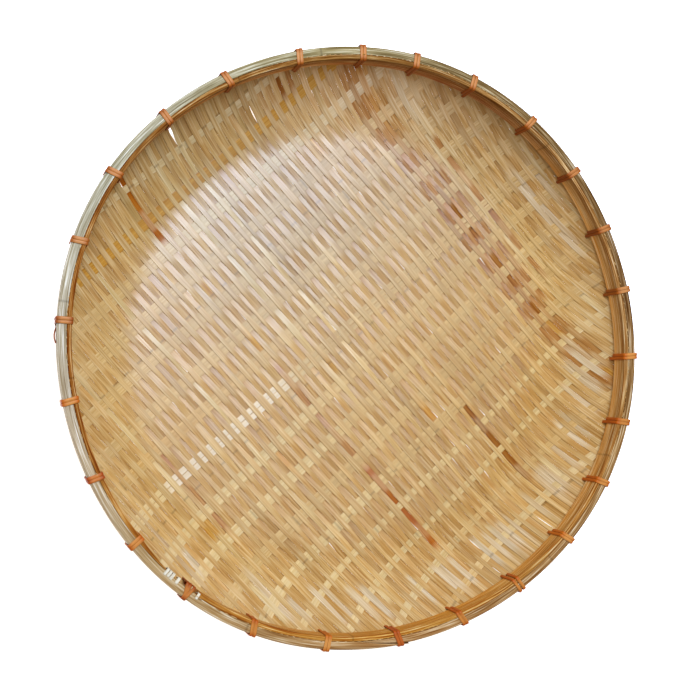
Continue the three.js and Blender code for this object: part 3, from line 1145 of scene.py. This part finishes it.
def bend_round(radius, along_rim, height, quarters):
    """A quarter turn of the path round a corner of the rim."""
    stations = []
    for step in range(BEND_STEPS + 1):
        place, outward = station(radius, along_rim, height, quarters - step / BEND_STEPS)
        stations.append((place + outward * CORD_CORNER, outward))
    return stations


# The free end of one lashing, in mm: out from the hoop's face, along the rim, and down from its top.
LOOSE_END = [
    (0.0, 0.5, 9.0),
    (-0.9, 3.5, 9.5),
    (-0.1, 6.5, 8.0),
    (0.3, 9.0, 7.0),
    (0.1, 12.0, 6.5),
    (-0.9, 15.0, 6.5),
]


def lashing_path(offsets, slants, ends_loose):
    """The stations of a cord's middle. Each turn has its offset along the rim and its slant over it."""
    inner, outer = cord_inside + CORD_CORNER, cord_outside - CORD_CORNER
    upper, lower = cord_top - CORD_CORNER, cord_foot + CORD_CORNER
    path = []
    for count, (at, slant) in enumerate(zip(offsets, slants)):
        if count == 0:
            path.append(station(cord_inside, at - slant, cord_foot - CORD_START, 2))
        else:
            path += bend_round(inner, at - slant, lower, 3)
        path += bend_round(inner, at - slant, upper, 2)
        for share in (0.25, 0.5, 0.75):
            leaning = at + slant * (2 * share - 1)
            path.append(station(inner + (outer - inner) * share, leaning, cord_top, 1))
        path += bend_round(outer, at + slant, upper, 1)
        if count < len(offsets) - 1:
            path += bend_round(outer, at + slant, lower, 0)
        elif ends_loose:
            for out, further, down in LOOSE_END:
                falls_away = (further * MM) ** 2 / (2 * TRAY_RADIUS)
                path.append(
                    station(cord_outside + out * MM - falls_away, at + further * MM, rim_top - down * MM, 0)
                )
        else:
            path.append(station(cord_outside, at + slant, lower, 0))
    return path


# %% Lay one cord
CORD_SIDES = 12


def lash(name, angle, path, shade_and_light_hexes):
    """One cord along a path, turned to its angle on the rim. shade_and_light_hexes are its colours: painted
    shade at the bends and painted light on top.
    """
    turn = Matrix.Rotation(angle, 4, "Z")
    outwards = Vector((math.cos(angle), math.sin(angle), 0)) * swell_at(angle)
    reach = distances([centre for centre, _ in path])
    shade_and_light = [linear(one) for one in shade_and_light_hexes]

    def place(row, side):
        centre, outward = path[row]
        before, after = path[max(row - 1, 0)][0], path[min(row + 1, len(path) - 1)][0]
        across = outward.cross(after - before).normalized()
        around = TURN * side / CORD_SIDES
        wide, thick = math.cos(around), math.sin(around)
        wide = math.copysign(abs(wide) ** 0.7, wide) * CORD_WIDE / 2
        thick = math.copysign(abs(thick) ** 0.8, thick) * CORD_THICK / 2
        return turn @ (centre + across * wide + outward * thick) + outwards

    def colour(row, side):
        # Painted light and shade: the cord is painted paler where it faces up over the rim's top, darker at
        # its bends.
        centre, outward = path[row]
        off_top = abs(centre.x - (cord_inside + cord_outside) / 2) / (cord_outside - cord_inside)
        share = max(0.0, outward.z) * smooth(1.5 - 3 * off_top)
        return (*blend(*shade_and_light, share), 0.0)

    mesh = new_long_mesh()
    around = [2 * (CORD_WIDE + CORD_THICK) * side / CORD_SIDES for side in range(CORD_SIDES + 1)]
    wrap(mesh, reach, around, place, colour, angle)
    return add_piece(name, mesh, dyed_cane, 60)


def angle_of(node):
    """Where a lashing sits on the rim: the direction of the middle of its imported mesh."""
    points = [vertex.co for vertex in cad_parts[node].data.vertices]
    middle = sum(points, Vector()) / len(points)
    return math.atan2(middle.y, middle.x)


# %% [markdown]
# The ties on the tray's upper half are duller than those below, and a few are of a redder batch. Each is
# painted darker at its bends as painted shade, and paler on top as painted light. Copies of one tie would
# be quicker, but hand-made ties lean this way and that, so each gets its own slant.

# %% Colours and slants of the ties
# By their place round the rim in whole degrees: ties in a redder batch of cord, ties that lean more than
# the rest, in mm, and one whose two turns have slid apart.
# Each pair: the colour at the bends, as painted shade, and the paler colour on top, as painted light.
DULL_CORDS = [("#8f480e", "#b0713a"), ("#89430e", "#a96a34"), ("#944d12", "#b27640")]
FRESH_CORDS = [("#ac540d", "#bc7936"), ("#a64e0c", "#b5712f"), ("#b05b12", "#c07f3c")]
ODD_COLOURS = {
    176: ("#88400f", "#b0713a"),
    206: ("#963d0e", "#b3682c"),
    233: ("#8c3c0a", "#b06a2c"),
    276: ("#a0460e", "#a9541c"),
}
ODD_SLANTS = {247: 1.0, 276: 1.2, 290: 1.2, 304: 0.3, 318: 0.8, 332: 0.6, 345: 0.6}
ODD_PITCHES = {304: 3.6 * MM}
KNOT_OFFSETS = (-1.5 * MM, 1.5 * MM, -0.8 * MM)  # the turns of the knotted lashing, which cross each other
KNOT_SLANTS = (1.9 * MM, -0.6 * MM, 0.3 * MM)
LOOSE_AT = 0.489 * TURN  # the place of the tie with the loose end, whose own middle lies off its turns
print(len(ODD_SLANTS), "ties lean by a set amount")

# %% Tie the lashings
lashings = {}
degrees_used = []
cord_lengths = []
for node in sorted(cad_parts):
    if "lashing" not in node:
        continue
    knotted = node == "knotted_lashing"
    loose = node == "lashing_with_loose_end"
    angle = angle_of(node)
    degrees = round(math.degrees(angle)) % 360
    degrees_used.append(degrees)
    shade_and_light_hexes = ODD_COLOURS.get(degrees, rng.choice(FRESH_CORDS if degrees > 185 else DULL_CORDS))
    slant = ODD_SLANTS.get(degrees, 0.0 if loose else rng.uniform(-0.7, 0.7)) * MM
    pitch = ODD_PITCHES.get(degrees, CORD_PITCH)
    offsets, slants = (-pitch / 2, pitch / 2), (slant, slant)
    if knotted:
        offsets, slants = KNOT_OFFSETS, KNOT_SLANTS
    path = lashing_path(offsets, slants, loose)
    if loose:
        angle = LOOSE_AT
    lashings[node] = lash(node + "_cord", angle, path, shade_and_light_hexes)
    cord_lengths.append(round(distances([centre for centre, _ in path])[-1] / MM))
print(len(lashings), "lashings, at", degrees_used, "degrees round the rim")
print("length of each cord:", cord_lengths, "mm")

# %% [markdown]
# ## Floor and light
#
# The tray lies on a light table: a plain pale floor of opal acrylic that glows, so that no shadow falls on
# it. One large soft light hangs beyond the tray's upper edge. The upward slopes of the narrow strips
# mirror it to the camera, which turns them white, as on a glossy bamboo tray by a window. A small lamp
# would mirror as sparks instead of bars. The world's even light fills the rest.

# %% The floor
floor_mesh = bmesh.new()
bmesh.ops.create_grid(floor_mesh, x_segments=1, y_segments=1, size=1.5)
floor_data = bpy.data.meshes.new("floor")
floor_mesh.to_mesh(floor_data)
floor_mesh.free()
floor = bpy.data.objects.new("floor", floor_data)
bpy.context.scene.collection.objects.link(floor)
acrylic = bpy.data.materials.new("opal acrylic, lit from below")
acrylic.use_nodes = True
acrylic_shader = acrylic.node_tree.nodes["Principled BSDF"]
acrylic_shader.inputs["Base Color"].default_value = (*linear("#f7f7f7"), 1)
acrylic_shader.inputs["Roughness"].default_value = 0.9
acrylic_shader.inputs["Emission Color"].default_value = (1, 1, 1, 1)
acrylic_shader.inputs["Emission Strength"].default_value = 0.8
acrylic_shader.inputs["Specular IOR Level"].default_value = 0.1
floor_data.materials.append(acrylic)

# %% The lights
SOFTBOX_AT = Vector((-25, 570, 1430)) * MM
SOFTBOX_SIDE = 700 * MM
SOFTBOX_POWER = 35.0
SKY_COLOUR = (0.68, 0.79, 1.0)
ROOM_COLOUR = (0.97, 0.95, 0.92, 1.0)
softbox_data = bpy.data.lights.new("softbox", "AREA")
softbox_data.shape = "RECTANGLE"
softbox_data.size = SOFTBOX_SIDE
softbox_data.size_y = SOFTBOX_SIDE
softbox_data.energy = SOFTBOX_POWER
softbox_data.color = SKY_COLOUR
softbox = bpy.data.objects.new("softbox", softbox_data)
softbox.location = SOFTBOX_AT
softbox.rotation_euler = SOFTBOX_AT.to_track_quat("Z", "Y").to_euler()
bpy.context.scene.collection.objects.link(softbox)

world = bpy.data.worlds.new("even light")
world.use_nodes = True
world.node_tree.nodes["Background"].inputs["Color"].default_value = ROOM_COLOUR
world.node_tree.nodes["Background"].inputs["Strength"].default_value = 0.48
bpy.context.scene.world = world
bpy.context.scene.view_settings.view_transform = "Standard"

# %% [markdown]
# ## Riding on the body
#
# Each new piece rides on the part's one body, and the imported solids that the new pieces replace are hidden.

# %% Ride and replace
for piece in [*woven, *flat_pieces, folded_ends]:
    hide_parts("woven_mat")
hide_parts("outer_hoop")
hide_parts("inner_hoop")
for node, cord in lashings.items():
    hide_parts(node)
for piece in [*woven, *flat_pieces, folded_ends, outer_hoop, inner_hoop, *lashings.values()]:
    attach(piece, "root")
